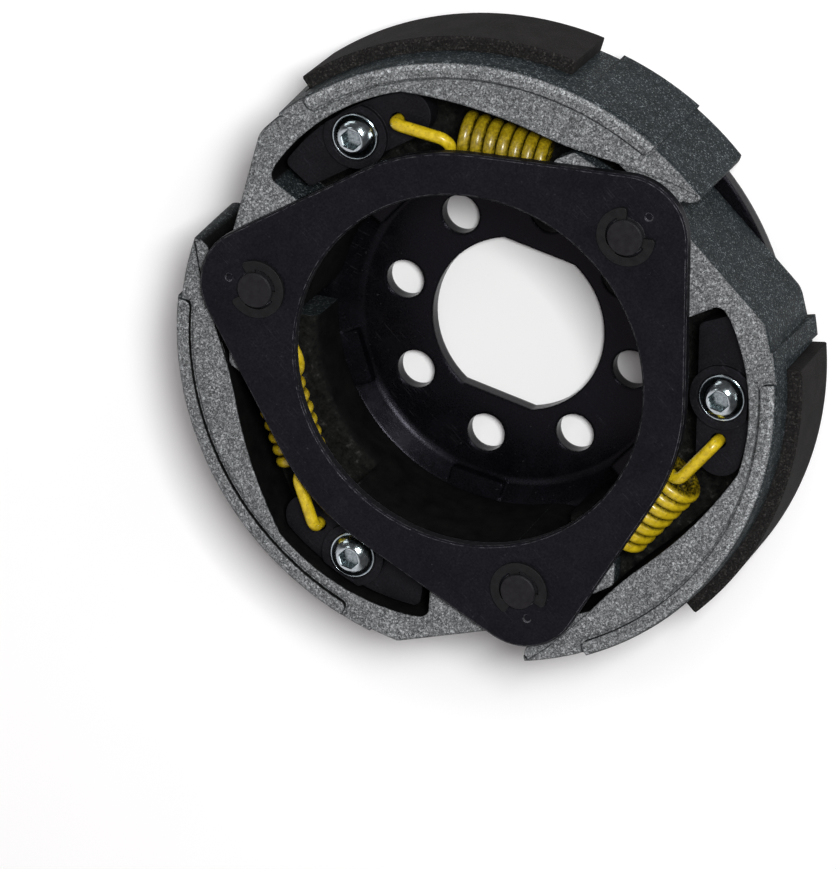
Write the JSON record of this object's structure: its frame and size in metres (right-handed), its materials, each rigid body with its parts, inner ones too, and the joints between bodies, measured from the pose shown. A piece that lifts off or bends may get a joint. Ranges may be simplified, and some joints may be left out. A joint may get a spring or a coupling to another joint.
{
  "type": "centrifugal clutch",
  "caption": "Dry centrifugal clutch with hinged lined shoes, yellow return springs on screw adjusters, a dished base plate and a triangular front plate held by clips.",
  "frame": {"origin": "clutch axis at the back face of the dished base plate's centre disc", "axes": "+Z along the clutch axis towards the front plate, +X through one pivot pin"},
  "size_m": [0.1448, 0.1466, 0.0397],
  "materials": {
    "base_plate": "satin black phosphate",
    "front_plate": "satin black with fine scratches",
    "pivot_pin": "blackened turned steel",
    "circlip": "oiled dark spring steel",
    "shoe": "bead-blasted casting",
    "lining": "moulded friction compound",
    "adjuster": "satin black",
    "adjuster_screw": "bright zinc",
    "spring": "yellow paint over spring steel"
  },
  "bodies": {
    "hub": {"base_plate": "base_plate", "front_plate": "front_plate", "pivot_pin_1": "pivot_pin", "pivot_pin_2": "pivot_pin", "pivot_pin_3": "pivot_pin", "circlip_1": "circlip", "circlip_2": "circlip", "circlip_3": "circlip"},
    "shoe_arm_1": {"shoe_1": "shoe", "lining_1": "lining", "adjuster_1": "adjuster", "adjuster_screw_1": "adjuster_screw", "spring_1": "spring"},
    "shoe_arm_2": {"shoe_2": "shoe", "lining_2": "lining", "adjuster_2": "adjuster", "adjuster_screw_2": "adjuster_screw", "spring_2": "spring"},
    "shoe_arm_3": {"shoe_3": "shoe", "lining_3": "lining", "adjuster_3": "adjuster", "adjuster_screw_3": "adjuster_screw", "spring_3": "spring"}
  },
  "joints": [
    {"name": "shoe_swing_1", "type": "hinge", "parent": "hub", "child": "shoe_arm_1", "pos_m": [-0.02565, 0.04443, 0.0215], "axis": [0, 0, 1], "range_deg": [0, 3], "stiffness_Nm_per_rad": 40, "springref_deg": -0.57, "deforming": ["spring_1", "spring_3"]},
    {"name": "shoe_swing_2", "type": "hinge", "parent": "hub", "child": "shoe_arm_2", "pos_m": [0.0513, 0, 0.0215], "axis": [0, 0, 1], "range_deg": [0, 3], "stiffness_Nm_per_rad": 40, "springref_deg": -0.57, "deforming": ["spring_2", "spring_1"]},
    {"name": "shoe_swing_3", "type": "hinge", "parent": "hub", "child": "shoe_arm_3", "pos_m": [-0.02565, -0.04443, 0.0215], "axis": [0, 0, 1], "range_deg": [0, 3], "stiffness_Nm_per_rad": 40, "springref_deg": -0.57, "deforming": ["spring_3", "spring_2"]}
  ]
}
